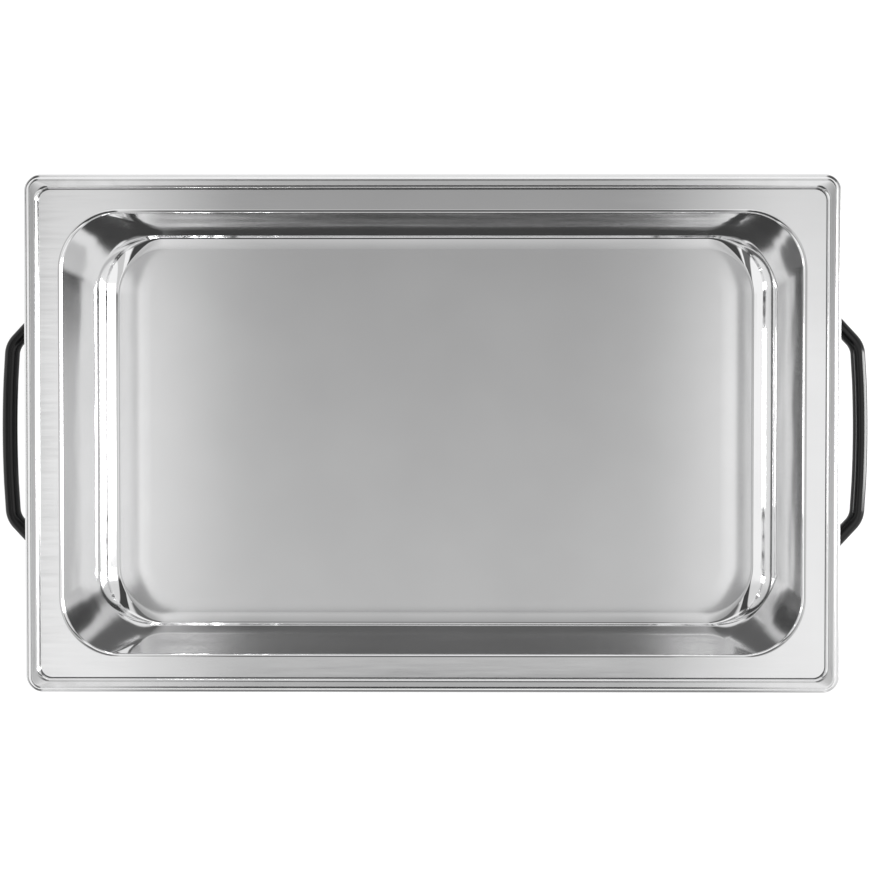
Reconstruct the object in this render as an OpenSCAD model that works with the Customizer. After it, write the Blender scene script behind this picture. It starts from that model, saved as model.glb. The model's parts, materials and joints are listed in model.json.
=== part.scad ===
// Electric buffet warmer: a heated water bath that holds one full-size food pan.
// Millimetres, +Z up, +X along the length, controls on the -Y side.
// The origin is the middle of the footprint, on the surface that the feet stand on.

/* [Food pan] */
// Length of the food pan over its flange
pan_length = 530; // [515:1:545]
// Width of the food pan over its flange
pan_width = 328.5; // [312:0.5:340]
// Height of the food pan from its underside to the top of its flange
pan_height = 65; // [50:1:80]
// Width of the flange at the two ends
flange_end = 15; // [12:0.25:22]
// Width of the flange along the two sides
flange_side = 15.25; // [12:0.25:20]
// Corner radius of the opening
opening_corner = 39; // [30:1:48]
// Corner radius of the flange outline
flange_corner = 8; // [5:0.5:12]
// Height of the turned-down edge of the flange
flange_edge = 3; // [2.5:0.25:5]
// How far each wall leans in between the opening and the floor
wall_lean = 5; // [3:0.5:8]
// Radius between wall and floor
floor_radius = 9; // [6:0.5:12]
// Radius of the bend from flange to wall
lip_radius = 2.5; // [2:0.25:3.5]
// Sheet thickness of the two pans
sheet = 1; // [0.8:0.1:1.2]

/* [Rim and water pan] */
// Gap between the flange and the rim at the two ends
end_gap = 0.6; // [0.4:0.1:3]
// Gap between the flange and the rim along the two sides
side_gap = 0.9; // [0.4:0.1:3]
// Width of the raised rim
rim_width = 7.75; // [7:0.25:12]
// Height of the rim above the food pan's flange
rim_rise = 3; // [2.5:0.25:6]
// Rounding of the rim's outer edge
rim_round = 3.5; // [2:0.25:3.75]
// Rounding of the rim's inner edge
rim_inner_round = 2.5; // [1.25:0.25:3]
// Outer corner radius of the rim
rim_corner = 9; // [6:0.5:14]
// Width of the step outside the rim
rim_step = 2.8; // [2.5:0.1:6]
// Depth of that step below the food pan's flange
step_drop = 1; // [0:0.25:1.25]
// Rounding of the step's outer edge
step_round = 1.5; // [1.25:0.25:2]
// Depth of the skirt below the seat
rim_drop = 7; // [6:0.5:12]
// Room for water under the food pan
water_depth = 28; // [15:1:40]
// Gap between the walls of the two pans at the opening
basin_gap = 3; // [2:0.5:4]
// Thickness of the seal under the rim
gasket_height = 2; // [1:0.25:3]

/* [Housing and base] */
// Sheet thickness of the housing
wall = 1; // [0.8:0.1:1.5]
// Gap between the water pan and the housing
house_gap = 2.5; // [2:0.5:4]
// Corner radius of the housing
house_corner = 12; // [8:1:20]
// Width of the inward flange at the foot of the housing
base_flange = 14; // [12:1:18]
// Gap between the top frame and the rim's skirt
skirt_gap = 1; // [0.5:0.25:2]
// Height of the space for the heater and the electrics
service_height = 56; // [54:1:80]
// Thickness of the base plate
base_sheet = 1.2; // [1:0.1:2]
// How far the base plate stays inside the housing's outline
base_inset = 1; // [0.5:0.25:2]
// Height of the feet
foot_height = 15; // [12:1:25]
// Diameter of a foot where it meets the base plate
foot_d = 28; // [22:1:34]
// How far a foot narrows towards the floor
foot_taper = 2; // [0:0.5:4]
// Depth of the recess in a foot for its screw
foot_recess = 7; // [5:0.5:9]
// Distance from the housing's end to the middle of a foot
foot_inset_x = 40; // [32:1:60]
// Distance from the housing's side to the middle of a foot
foot_inset_y = 36; // [32:1:60]
// Distance between the outer base screws of a long side
base_screw_pitch = 360; // [300:5:420]
// Length of a ventilation slot
vent_length = 22; // [14:1:28]
// Width of a ventilation slot
vent_width = 3.5; // [2:0.5:5]
// Distance between ventilation slots
vent_pitch = 9; // [7:0.5:12]
// Ventilation slots in a group
vent_count = 9; // [3:1:13]
// Distance from the middle to a group of ventilation slots
vent_offset = 120; // [90:1:150]

/* [Handles] */
// Distance from the housing to the middle of the grip
handle_reach = 48; // [42:0.5:60]
// Distance between the two fixing screws of a handle
handle_pitch = 192; // [170:1:220]
// Half the length of the grip, to where its corners turn
grip_half = 62; // [45:1:70]
// How far the grip bows outward in the middle
grip_bow = 2.3; // [0:0.1:4]
// Straight length of a leg next to the housing
leg_length = 15; // [13:0.5:20]
// Bend radius of the handle
handle_bend = 16; // [8:0.5:16]
// Width of the handle's section
handle_width = 9; // [8:0.5:12]
// Height of the handle's section
handle_height = 9; // [8:0.5:12]
// Chamfer along the handle's edges
handle_chamfer = 2; // [1:0.25:2.5]
// Distance from the food pan's flange down to the middle of the handle
handle_drop = 44; // [38:1:50]
// Diameter of the round pad at the foot of a leg
pad_d = 20; // [18:1:26]
// Thickness of that pad
pad_height = 4; // [3:0.5:6]

/* [Controls] */
// Length of the control panel
panel_length = 240; // [220:1:280]
// Height of the control panel
panel_height = 50; // [46:1:50]
// Thickness of the control panel
panel_sheet = 1.2; // [0.8:0.1:1.5]
// Diameter of the knob's skirt
knob_d = 40; // [40:1:46]
// Height of the knob
knob_height = 14.2; // [12:0.1:20]
// Height of the knob's skirt
knob_skirt = 4.4; // [4:0.1:6]
// Width of the knob's finger bar
knob_bar = 11; // [9:0.5:14]
// Gap between the knob and the panel
knob_gap = 0.5; // [0.3:0.1:1]
// Diameter of the thermostat's spindle
spindle_d = 6; // [5:0.5:6]
// Running clearance round the spindle and the switch's pins
running_fit = 0.05; // [0.03:0.01:0.08]
// Width of the thermostat's case
tstat_width = 46; // [40:1:52]
// Height of the thermostat's case
tstat_height = 34; // [30:1:38]
// Depth of the thermostat's case
tstat_depth = 32; // [26:1:36]
// Distance between the two fixing screws of the thermostat
tstat_pitch = 28; // [26:1:28]
// Distance from the middle to the switch
switch_offset = 75; // [60:1:85]
// Throw of the switch between off and on, in degrees
switch_throw = 16; // [10:1:18]
// Distance from the middle to the first lamp
lamp_offset = 60; // [50:1:66]
// Distance between the lamps
lamp_pitch = 26; // [22:1:30]
// Diameter of a lamp's body
lamp_d = 9.6; // [8:0.2:12]

/* [Heater] */
// Distance from the housing's end to the heat spreader under the water pan
heater_end = 80; // [70:1:110]
// Distance from the housing's side to the heat spreader
heater_side = 58.5; // [56:0.5:80]
// Thickness of the heat spreader
spreader_sheet = 3; // [2:0.5:4]
// Diameter of the tubular heater
element_d = 6.6; // [6:0.2:8.4]
// Length of the heater's cold ends past the bends
cold_end = 50; // [45:1:60]
// Distance from the outer clamp bars to the heater's bends
clamp_inset = 20; // [14:1:28]
// Width of a clamp bar
clamp_width = 16; // [14:1:20]
// Thickness of a clamp bar
clamp_sheet = 2; // [1.5:0.25:3]
// Distance from the water pan down to the heat shield
shield_drop = 22; // [22:0.5:26]
// How far the heat shield stays inside the ends of the heat spreader
shield_inset = 5; // [2:0.5:10]
// How far the heat shield stands out past the sides of the heat spreader
shield_outset = 8; // [4:0.5:10]
// Sheet thickness of the heat shield
shield_sheet = 0.8; // [0.6:0.1:1.2]
// Diameter of the temperature sensor
bulb_d = 6; // [5:0.5:7]
// Length of the temperature sensor
bulb_length = 60; // [40:1:70]

/* [Supply] */
// Width of the appliance inlet's bezel
inlet_bezel = 31; // [29:0.5:36]
// Height of the appliance inlet's bezel
inlet_bezel_height = 28; // [24:0.5:32]
// Width of the inlet's socket
inlet_width = 24.4; // [24:0.1:26]
// Height of the inlet's socket
inlet_height = 16.4; // [16:0.1:18]
// Width of the plate that carries the inlet
inlet_plate_width = 60; // [56:1:70]
// Height of that plate
inlet_plate_height = 48; // [46:1:52]
// Thickness of that plate
inlet_plate_sheet = 1.5; // [1:0.1:2]
// Depth of the inlet behind its plate's face
inlet_depth = 24; // [20:0.5:30]
// Diameter of an internal wire over its insulation
wire_d = 2.8; // [2:0.2:3.6]

/* [Hidden] */
$fn = 64;

// How far a cutting shape runs past the face that it cuts
cut = 1;
// Loose clearance round a screw or a wire in its hole, on the radius
loose = 0.2;
// Gap between round parts that rest on flat ones
contact = 0.2;
// Steps in a quarter bend
steps = 6;

// Heights
base_top = foot_height + base_sheet;
water_under = base_top + service_height;
water_floor = water_under + sheet;
pan_under = water_floor + water_depth;
pan_top = pan_under + pan_height;
seat_z = pan_top - flange_edge;
rim_top = pan_top + rim_rise;
ledge_under = seat_z - sheet;
house_top = ledge_under - gasket_height;
handle_z = pan_top - handle_drop;
control_z = (base_top + wall + water_under) / 2;

// Half lengths and half widths of the outlines, as [x, y]
flange_half = [pan_length, pan_width] / 2;
opening_half = flange_half - [flange_end, flange_side];
well_half = flange_half + [end_gap, side_gap];
rim_half = well_half + [rim_width, rim_width];
basin_half = opening_half + [1, 1] * (sheet + basin_gap);
basin_corner = opening_corner + sheet + basin_gap;
house_half = basin_half + [1, 1] * (sheet + house_gap + wall);
skirt_half = rim_half + [1, 1] * rim_step;
frame_half = skirt_half - [1, 1] * (sheet + skirt_gap);
base_half = house_half - [1, 1] * base_inset;

// Faces of the front wall, the panel and the left wall
front_in = -house_half.y + wall;
front_out = -house_half.y;
panel_out = front_out - panel_sheet;
knob_back = panel_out - knob_gap;
left_out = -house_half.x;

// Screws: radius of the shank, then radius and height of the head
handle_screw = [2.5, 4.6, 2.8];
foot_screw = [2, 4, 2.6];
base_screw = [1.9, 3.7, 2.2];
tstat_screw = [1.6, 2.8, 1.8];
terminal_screw = [1.4, 2.5, 1.6];
stud_r = 2.5;
nut_height = 4;
base_screw_tail = 5;
foot_screw_tail = 6;
handle_screw_reach = 11;
tstat_screw_reach = 6;
washer = [6, 1];

// Where the base screws and the feet stand
base_screw_line = house_half - [1, 1] * (wall + base_flange / 2);
base_screw_spots = concat(
  [for (i = [-1:1], s = [-1, 1]) [i * base_screw_pitch / 2, s * base_screw_line.y]],
  [for (s = [-1, 1]) [s * base_screw_line.x, 0]]
);
foot_spot = house_half - [foot_inset_x, foot_inset_y];
foot_spots = [for (sx = [-1, 1], sy = [-1, 1]) [sx * foot_spot.x, sy * foot_spot.y]];

// Thermostat, knob and spindle
spindle_r = spindle_d / 2;
spindle_seat = 14;
spindle_end_gap = 0.5;
knob_bore = 9;
knob_hollow = [knob_d / 2 - 1.6, 3];
knob_edge = 1.2;
knob_mark = [1.6, 7, 0.6];
tab = [6.3, 0.8, 7];
tstat_tab_offset = 11;

// Rocker switch
switch_half = [6.4, 9.6];
switch_depth = 19;
bezel_half = [7.6, 10.8];
bezel_height = 1.6;
rocker_half = [5.2, 8];
rocker_front = 4.6;
rocker_back = 2;
rocker_side_gap = 0.25;
rocker_end_gap = 0.9;
pivot_depth = 2;
pin_r = 1.2;
pin_length = 0.7;
rocker_room = 8;
pivot_y = panel_out + pivot_depth;
switch_x = -switch_offset;
switch_tab_offset = 5;

// Lamps
lamp_r = lamp_d / 2;
lens_r = lamp_r + 1.8;
lens_rim = 1.5;
lens_height = 5;
lamp_length = 18;
lamp_nut = [8, 3];
lead_offset = 2.2;
lamp_spots = [lamp_offset, lamp_offset + lamp_pitch];

// Heater
spreader_half = house_half - [heater_end, heater_side];
spreader_under = water_under - spreader_sheet;
element_r = element_d / 2;
element_z = spreader_under - contact - element_r;
element_end = spreader_half.x;
element_bend = element_end - cold_end;
element_pitch = spreader_half.y / 2;
clamp_top = element_z - element_r - contact;
clamp_under = clamp_top - clamp_sheet;
clamp_pitch = element_bend - clamp_inset;
clamp_spots = [for (i = [-1:1]) i * clamp_pitch];
clamp_half = 1.9 * element_pitch;
stud_spots = [for (x = clamp_spots, s = [-1, 1]) [x, s * element_pitch]];
shield_half = spreader_half + [-shield_inset, shield_outset];
shield_under = water_under - shield_drop;
shield_top = shield_under + shield_sheet;
shield_edge = 5;
shield_corner = 8;
stud_end = shield_under - nut_height - 2;
collar = [4.2, 8];
terminal_pin = [1.5, 8];
terminal_end = element_end + collar.y + terminal_pin.y;
outer_leg_y = 1.5 * element_pitch;

// Temperature sensor, its clip and the thermal cutout
bulb_r = bulb_d / 2;
bulb_z = spreader_under - contact - bulb_r;
bulb_x = clamp_pitch / 2 - bulb_length / 2;
bulb_y = -element_pitch;
clip_half = [5, 8];
clip_sheet = 1;
capillary_r = 0.9;
cutout_spot = [-clamp_pitch / 2, -element_pitch];
cutout_r = 8;
cutout_height = 8;
cutout_tab = [5, 3, 0.8];
cutout_tab_z = spreader_under - cutout_height + 1.5;
wire_slot = [-clamp_pitch - 22, -element_pitch + 12];
wire_slot_r = 4;

// Appliance inlet
inlet_half = [inlet_width, inlet_height] / 2;
inlet_shell = 1.4;
inlet_bezel_t = 2;
inlet_face = left_out - inlet_plate_sheet;
inlet_plate_half = [inlet_plate_width, inlet_plate_height] / 2;
inlet_room = inlet_plate_half - [8, 6];
// Rivets of that plate: radius of the shank, then radius and height of the heads
rivet = [1.2, 2.4, 1.2];
rivet_line = inlet_plate_half - [4, 3];
inlet_mouth = inlet_face - inlet_bezel_t;
socket_depth = 18;
inlet_back = inlet_face + inlet_depth;
blade = [2, 4];
blade_setback = 3;
blade_tail = 8;
blade_spots = [[-7, -1.5], [7, -1.5], [0, 3]];
blade_end = inlet_back + blade_tail;

// Terminal block and earth stud on the base plate
terminal_spot = [left_out + 90, -40];
terminal_size = [20, 44, 16];
terminal_pitch = 14;
terminal_hole_z = base_top + 9;
terminal_bore = 5;
earth_spot = [left_out + 70, 45];
earth_height = 16;
earth_washer = [5.5, 1.2];
wire_r = wire_d / 2;
// Gap between a wire's end and its tab, and the straight length next to it
wire_gap = 0.4;
wire_straight = 5;
// Height of the lane between the clamp bars and the heat shield, and the height that clears the shield's edge
lane_z = (clamp_under + shield_top) / 2;
edge_z = shield_top + shield_edge + 1.5;

// A point of a 2D pair at a given height
function at(p, z) = [p.x, p.y, z];
function unit(v) = v / norm(v);

// Points of an arc round c, from angle a0 to a1
function arc(c, r, a0, a1, n = steps) =
  [for (i = [0:n]) let (a = a0 + (a1 - a0) * i / n) c + r * [cos(a), sin(a)]];

// Edge of a pressed bowl as [distance from the corner's centre, z]: floor, bend, leaning wall, lip
function bowl_edge(r, floor_z, top_z, lean, bend, lip) =
  let (
    slope = atan2(lean, top_z - floor_z),
    wall_r = function (z) r - (top_z - z) * tan(slope),
    low = [wall_r(floor_z + bend) - bend / cos(slope), floor_z + bend],
    high = [wall_r(top_z - lip) + lip / cos(slope), top_z - lip]
  )
  concat(arc(low, bend, -90, -slope), arc(high, lip, 180 - slope, 90));

// Edge of a plate whose upper edge is rounded
function rounded_edge(r, z0, z1, bend) = concat([[r, z0]], arc([r - bend, z1 - bend], bend, 0, 90));

// Edge of a hole whose upper edge is rounded and flares outward
function flared_edge(r, z0, z1, bend) = concat([[r, z0]], arc([r + bend, z1 - bend], bend, 180, 90));

// Flat outline with round corners
module rounded_rect(half, r) {
  square([2 * half.x, 2 * (half.y - r)], center = true);
  square([2 * (half.x - r), 2 * half.y], center = true);
  for (sx = [-1, 1], sy = [-1, 1])
    translate([sx * (half.x - r), sy * (half.y - r)])
      circle(r);
}

// Plate with round corners between two heights
module slab(half, r, z0, z1) {
  translate([0, 0, z0])
    linear_extrude(z1 - z0)
      rounded_rect(half, r);
}

// Solid whose sides follow an edge profile round a rectangle; centres holds the corner centres' half spacing
module formed(centres, edge) {
  last = len(edge) - 1;
  quarter = concat([[0, edge[0].y]], edge, [[0, edge[last].y]]);
  both = function (c)
    concat([for (p = edge) [c + p.x, p.y]], [for (i = [last:-1:0]) [-c - edge[i].x, edge[i].y]]);
  for (i = [0:3])
    translate([(i == 0 || i == 3 ? 1 : -1) * centres.x, (i < 2 ? 1 : -1) * centres.y, 0])
      rotate([0, 0, 90 * i])
        rotate_extrude(angle = 90)
          polygon(quarter);
  rotate([90, 0, 90])
    translate([0, 0, -centres.x])
      linear_extrude(2 * centres.x)
        polygon(both(centres.y));
  rotate([90, 0, 0])
    translate([0, 0, -centres.y])
      linear_extrude(2 * centres.y)
        polygon(both(centres.x));
}

// Round bars along each axis, starting at p
module rod_x(p, r, length) {
  translate(p) rotate([0, 90, 0]) cylinder(r = r, h = length);
}
module rod_y(p, r, length) {
  translate(p) rotate([-90, 0, 0]) cylinder(r = r, h = length);
}
module rod_z(p, r, length) {
  translate(p) cylinder(r = r, h = length);
}

// Box centred on p
module block(p, size) {
  translate(p) cube(size, center = true);
}

// Hexagon nut whose underside is at p
module nut(p, r, height) {
  difference() {
    translate(p) cylinder(r = 1.9 * r, h = height, $fn = 6);
    rod_z(p - [0, 0, cut], r + running_fit, height + 2 * cut);
  }
}

// Slot with round ends, cut through a wall that faces Y
module vent_slot(x, z, y, depth) {
  straight = vent_length / 2 - vent_width / 2;
  block([x, y + depth / 2, z], [vent_width, depth, 2 * straight]);
  for (s = [-1, 1])
    rod_y([x, y, z + s * straight], vent_width / 2, depth);
}

// Closed skin over rings of points, with flat ends
module skin(rings) {
  n = len(rings[0]);
  last = len(rings) - 1;
  points = [for (ring = rings, p = ring) p];
  sides = [for (i = [0:last - 1], j = [0:n - 1])
    [i * n + j, i * n + (j + 1) % n, (i + 1) * n + (j + 1) % n, (i + 1) * n + j]];
  ends = [[for (j = [n - 1:-1:0]) j], [for (j = [0:n - 1]) last * n + j]];
  polyhedron(points, concat(sides, ends), convexity = 8);
}

// Direction of a path at each of its points
function heading(path, i) =
  unit(path[min(i + 1, len(path) - 1)] - path[max(i - 1, 0)]);

// Smooth path through hand-placed points
function smooth(p, n = 4) =
  let (last = len(p) - 1)
  concat(
    [for (i = [0:last - 1], k = [0:n - 1])
      let (t = k / n, s = norm(p[i + 1] - p[i]), out = s * heading(p, i), in = s * heading(p, i + 1))
      (1 - t) * (1 - t) * ((1 + 2 * t) * p[i] + t * out) + t * t * ((3 - 2 * t) * p[i + 1] - (1 - t) * in)],
    [p[last]]
  );

// Round tube along a path; its ring turns with the path from a sideways start
module tube(path, r, sides = 8) {
  lean = unit([0.31, 0.23, 0.92]);
  skin([for (i = [0:len(path) - 1])
    let (t = heading(path, i), u = unit(cross(lean, t)), v = cross(t, u))
    [for (j = [0:sides - 1]) let (a = -360 * j / sides) path[i] + r * (cos(a) * u + sin(a) * v)]]);
}

module wire(points) {
  color("firebrick") tube(smooth(points), wire_r);
}

// Pressed pan without its flange: the outer shape and the space inside it
module bowl(half, corner, floor_z, top_z, lip, grow) {
  slope = atan2(wall_lean, top_z - floor_z);
  edge = bowl_edge(corner + grow / cos(slope), floor_z - grow, top_z - grow, wall_lean,
    floor_radius + grow, lip - grow);
  formed(half - [corner, corner], edge);
}

// Space inside a bowl, open at the top
module bowl_space(half, corner, floor_z, top_z, lip) {
  edge = bowl_edge(corner, floor_z, top_z, wall_lean, floor_radius, lip);
  mouth = edge[len(edge) - 1];
  formed(half - [corner, corner], concat(edge, [[mouth.x, top_z + cut]]));
}

module food_pan() {
  inner_half = flange_half - [1, 1] * sheet;
  inner_corner = flange_corner - sheet;
  color("gainsboro")
    difference() {
      union() {
        difference() {
          formed(flange_half - [1, 1] * flange_corner,
            rounded_edge(flange_corner, seat_z, pan_top, 1.25 * sheet));
          slab(inner_half, inner_corner, seat_z - cut, pan_top - sheet);
        }
        bowl(opening_half, opening_corner, pan_under + sheet, pan_top, lip_radius, sheet);
      }
      bowl_space(opening_half, opening_corner, pan_under + sheet, pan_top, lip_radius);
    }
}

module water_pan() {
  well_corner = flange_corner + end_gap;
  skirt_corner = rim_corner + rim_step;
  centres = rim_half - [1, 1] * rim_corner;
  fold_half = well_half + [1, 1] * sheet;
  skirt_z = seat_z - rim_drop;
  step_z = pan_top - step_drop;
  flare = flared_edge(well_corner, seat_z, rim_top, rim_inner_round);
  color("silver")
    difference() {
      union() {
        difference() {
          union() {
            formed(centres, rounded_edge(rim_corner, ledge_under, rim_top, rim_round));
            formed(centres, rounded_edge(skirt_corner, skirt_z, step_z, step_round));
          }
          difference() {
            union() {
              formed(centres,
                rounded_edge(rim_corner - sheet, ledge_under - cut, rim_top - sheet, rim_round - sheet));
              formed(centres,
                rounded_edge(skirt_corner - sheet, skirt_z - cut, step_z - sheet, step_round - sheet));
            }
            slab(fold_half, well_corner + sheet, ledge_under, rim_top);
          }
          formed(well_half - [1, 1] * well_corner,
            concat(flare, [[well_corner + rim_inner_round, rim_top + cut]]));
        }
        bowl(basin_half, basin_corner, water_floor, seat_z, lip_radius, sheet);
      }
      bowl_space(basin_half, basin_corner, water_floor, seat_z, lip_radius);
    }
}

module rim_gasket() {
  inner = house_half - [1, 1] * wall;
  color("dimgray")
    difference() {
      slab(frame_half, house_corner, house_top, ledge_under);
      slab(inner, house_corner - wall, house_top - cut, ledge_under + cut);
    }
}

// Ring round the top of the housing that carries the gasket and the rim
module top_frame() {
  color("gray")
    difference() {
      slab(frame_half, house_corner, house_top - wall, house_top);
      slab(house_half, house_corner, house_top - wall - cut, house_top + cut);
    }
}

// Holes for the rivets of the inlet's plate
module rivet_holes(x, depth) {
  for (sy = [-1, 1], sz = [-1, 1])
    rod_x([x, sy * rivet_line.x, control_z + sz * rivet_line.y], rivet[0] + running_fit, depth);
}

// Openings for the knob's spindle, its screws, the switch and the lamps
module control_holes(y, depth) {
  rod_y([0, y, control_z], spindle_r + 8 * loose, depth);
  for (s = [-1, 1])
    rod_y([s * tstat_pitch / 2, y, control_z], tstat_screw[0] + loose, depth);
  block([switch_x, y + depth / 2, control_z],
    [2 * (switch_half.x + loose), depth, 2 * (switch_half.y + loose)]);
  for (x = lamp_spots)
    rod_y([x, y, control_z], lamp_r + loose, depth);
}

module housing() {
  inner = house_half - [1, 1] * wall;
  opening = inner - [1, 1] * base_flange;
  through = wall + 2 * cut;
  color("lightgray")
    difference() {
      slab(house_half, house_corner, base_top, house_top);
      slab(inner, house_corner - wall, base_top + wall, house_top + cut);
      slab(opening, house_corner, base_top - cut, base_top + wall + cut);
      control_holes(front_out - cut, through);
      block([left_out + wall / 2, 0, control_z], [through, 2 * inlet_room.x, 2 * inlet_room.y]);
      rivet_holes(left_out - cut, through);
      for (sx = [-1, 1], sy = [-1, 1])
        rod_x([sx * house_half.x - through / 2, sy * handle_pitch / 2, handle_z],
          handle_screw[0] + loose, through);
      for (p = base_screw_spots)
        rod_z(at(p, base_top - cut), base_screw[0] + loose, through);
      for (s = [-1, 1], i = [0:vent_count - 1])
        vent_slot(s * vent_offset + (i - (vent_count - 1) / 2) * vent_pitch, control_z,
          house_half.y - wall - cut, through);
    }
}

module base_plate() {
  depth = base_sheet + 2 * cut;
  z = foot_height - cut;
  color("darkgray")
    difference() {
      slab(base_half, house_corner - base_inset, foot_height, base_top);
      for (p = base_screw_spots)
        rod_z(at(p, z), base_screw[0] + loose, depth);
      for (p = foot_spots)
        rod_z(at(p, z), foot_screw[0] + loose, depth);
      for (s = [-1, 1])
        rod_z([terminal_spot.x, terminal_spot.y + s * terminal_pitch / 2, z],
          terminal_screw[0] + loose, depth);
      for (s = [-1, 1], i = [0:vent_count - 1])
        block([i * vent_pitch + vent_offset / 2, s * vent_offset / 2, foot_height + base_sheet / 2],
          [vent_width, 2 * vent_length, depth]);
    }
}

module foot(p) {
  color("black")
    difference() {
      translate(at(p, 0))
        cylinder(r1 = foot_d / 2 - foot_taper, r2 = foot_d / 2, h = foot_height);
      rod_z(at(p, -cut), foot_screw[1] + 1, foot_recess + cut);
      rod_z(at(p, -cut), foot_screw[0] + loose, foot_height + 2 * cut);
    }
}
module foot_front_left() { foot(foot_spots[0]); }
module foot_rear_left() { foot(foot_spots[1]); }
module foot_front_right() { foot(foot_spots[2]); }
module foot_rear_right() { foot(foot_spots[3]); }

// Screws that point up, with their heads below the plane at height z
module screws_up(spots, z, screw, tip_z) {
  for (p = spots) {
    rod_z(at(p, z - screw[2]), screw[1], screw[2]);
    rod_z(at(p, z - screw[2]), screw[0], tip_z - z + screw[2]);
  }
}
module foot_screws() {
  color("silver") screws_up(foot_spots, foot_recess, foot_screw, base_top + foot_screw_tail);
}
module foot_nuts() {
  color("silver")
    for (p = foot_spots)
      nut(at(p, base_top), foot_screw[0], nut_height);
}
module base_screws() {
  color("silver")
    screws_up(base_screw_spots, foot_height, base_screw, base_top + wall + base_screw_tail);
}

// Arc that rounds the corner at b between a and c
function rounded_corner(a, b, c, r, n = steps) =
  let (
    u = unit(a - b),
    v = unit(c - b),
    angle = acos(u * v),
    turn = 180 - angle,
    middle = b + unit(u + v) * r / sin(angle / 2),
    d0 = unit(b + u * r / tan(angle / 2) - middle),
    d1 = unit(b + v * r / tan(angle / 2) - middle)
  )
  [for (i = [0:n]) let (t = i / n) middle + r * (sin((1 - t) * turn) * d0 + sin(t * turn) * d1) / sin(turn)];

// Middle line of a handle, with x measured outward from the housing
function handle_path() =
  let (
    root = [0, handle_pitch / 2],
    knee = [leg_length, handle_pitch / 2],
    corner = [handle_reach - grip_bow, grip_half],
    grip = function (y) [handle_reach - grip_bow * pow(y / grip_half, 2), y],
    half = concat(
      [root],
      rounded_corner(root, knee, corner, handle_bend),
      rounded_corner(knee, corner, grip(grip_half / 2), handle_bend),
      [grip(grip_half / 2), grip(grip_half / 4)]
    ),
    mirrored = [for (i = [len(half) - 1:-1:0]) [half[i].x, -half[i].y]]
  )
  concat(half, [grip(0)], mirrored);

// Handle at the right end, with its screw holes
module handle_solid() {
  w = handle_width / 2;
  h = handle_height / 2;
  c = handle_chamfer;
  section = [
    [w, c - h], [w, h - c], [w - c, h], [c - w, h],
    [-w, h - c], [-w, c - h], [c - w, -h], [w - c, -h]
  ];
  path = [for (p = handle_path()) [house_half.x + p.x, p.y]];
  color([0.08, 0.08, 0.09])
    difference() {
      union() {
        skin([for (i = [0:len(path) - 1])
          let (t = heading(path, i), side = [t.y, -t.x])
          [for (s = section) concat(path[i] + s.x * side, handle_z + s.y)]]);
        for (s = [-1, 1])
          rod_x([house_half.x, s * handle_pitch / 2, handle_z], pad_d / 2, pad_height);
      }
      for (s = [-1, 1])
        rod_x([house_half.x - cut, s * handle_pitch / 2, handle_z],
          handle_screw[0] + running_fit, cut + handle_screw_reach + loose);
    }
}
module handle_right() { handle_solid(); }
module handle_left() { mirror([1, 0, 0]) handle_solid(); }

// Screws and washers that hold the handles from inside the housing
module at_handle_feet() {
  for (sx = [0, 1], sy = [-1, 1])
    mirror([sx, 0, 0])
      translate([house_half.x - wall, sy * handle_pitch / 2, handle_z])
        children();
}
module handle_screws() {
  color("silver")
    at_handle_feet() {
      rod_x([-washer[1] - handle_screw[2], 0, 0], handle_screw[1], handle_screw[2]);
      rod_x([-washer[1] - handle_screw[2], 0, 0], handle_screw[0],
        washer[1] + handle_screw[2] + wall + handle_screw_reach);
    }
}
module handle_washers() {
  color("silver")
    at_handle_feet()
      difference() {
        rod_x([-washer[1], 0, 0], washer[0], washer[1]);
        rod_x([-washer[1] - cut, 0, 0], handle_screw[0] + loose, washer[1] + 2 * cut);
      }
}

module control_panel() {
  color([0.12, 0.12, 0.13])
    difference() {
      translate([0, front_out, control_z])
        rotate([90, 0, 0])
          linear_extrude(panel_sheet)
            rounded_rect([panel_length, panel_height] / 2, 4);
      control_holes(panel_out - cut, panel_sheet + 2 * cut);
    }
}

module knob() {
  r = knob_d / 2;
  bar_half = r - knob_edge;
  color([0.07, 0.07, 0.08])
    difference() {
      union() {
        translate([0, knob_back, control_z])
          rotate([90, 0, 0])
            rotate_extrude()
              polygon(concat([[0, 0], [r, 0]],
                arc([r - knob_edge, knob_skirt - knob_edge], knob_edge, 0, 90), [[0, knob_skirt]]));
        translate([0, knob_back, control_z])
          rotate([90, 0, 0])
            linear_extrude(knob_height)
              rounded_rect([knob_bar / 2, bar_half], knob_bar / 2 - knob_edge);
      }
      rod_y([0, knob_back - knob_bore, control_z], spindle_r + running_fit, knob_bore + cut);
      difference() {
        rod_y([0, knob_back - knob_hollow[1], control_z], knob_hollow[0], knob_hollow[1] + cut);
        rod_y([0, knob_back - knob_hollow[1] - cut, control_z], spindle_r + 2, knob_hollow[1] + 3 * cut);
      }
      block([0, knob_back - knob_height, control_z + bar_half - knob_mark[1] / 2],
        [knob_mark[0], 2 * knob_mark[2], knob_mark[1] + cut]);
    }
}

module spindle() {
  tip = knob_back - knob_bore + spindle_end_gap;
  color("silver")
    rod_y([0, tip, control_z], spindle_r, front_in + spindle_seat - spindle_end_gap - tip);
}

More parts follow.
